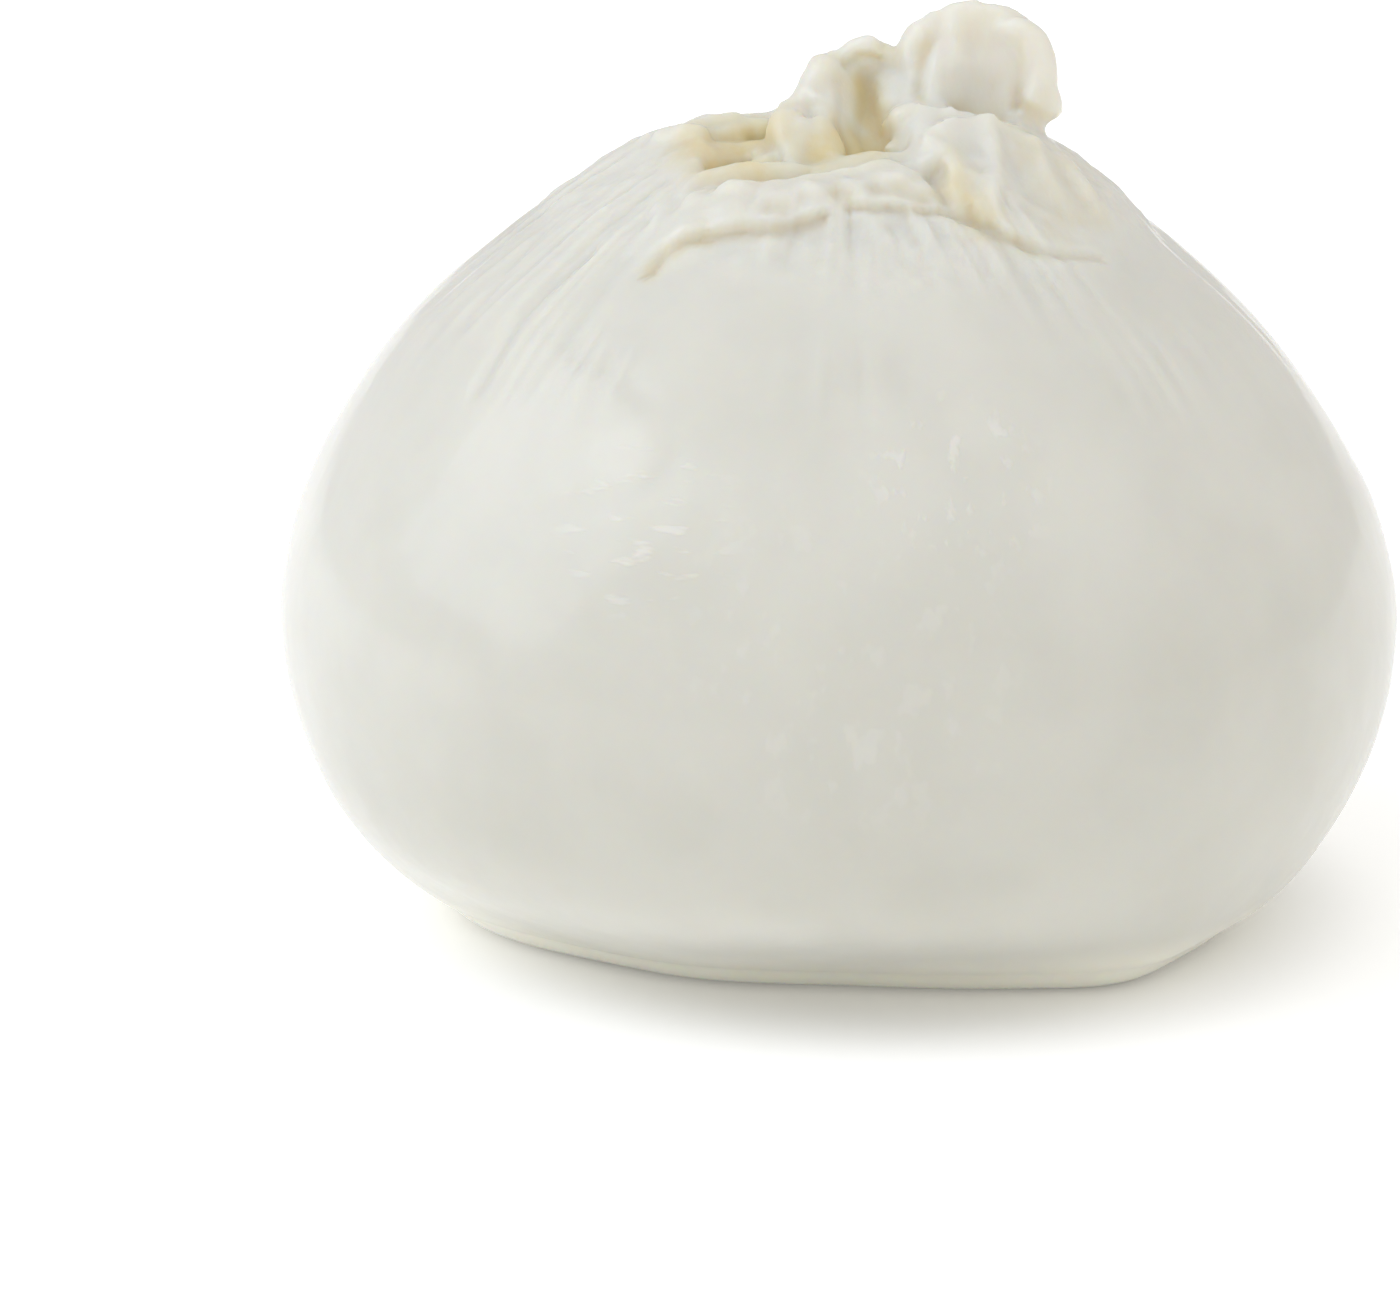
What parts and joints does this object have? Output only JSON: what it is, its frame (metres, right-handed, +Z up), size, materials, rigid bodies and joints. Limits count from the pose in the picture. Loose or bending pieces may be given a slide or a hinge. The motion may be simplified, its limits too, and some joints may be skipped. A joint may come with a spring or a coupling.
{
  "type": "burrata cheese",
  "caption": "Whole fresh burrata: a soft round pouch of stretched curd, gathered at the top into a folded collar and a ruffled, torn topknot.",
  "frame": {"origin": "centre of the flat foot it rests on", "axes": "+Z up through the topknot, -Y towards the front, +X to the right of the front, where the tall fan of the topknot stands"},
  "size_m": [0.0872, 0.0864, 0.071],
  "materials": {
    "curd": "moist, milky white, softly glossy"
  },
  "bodies": {
    "root": {"burrata": "curd"}
  },
  "joints": []
}
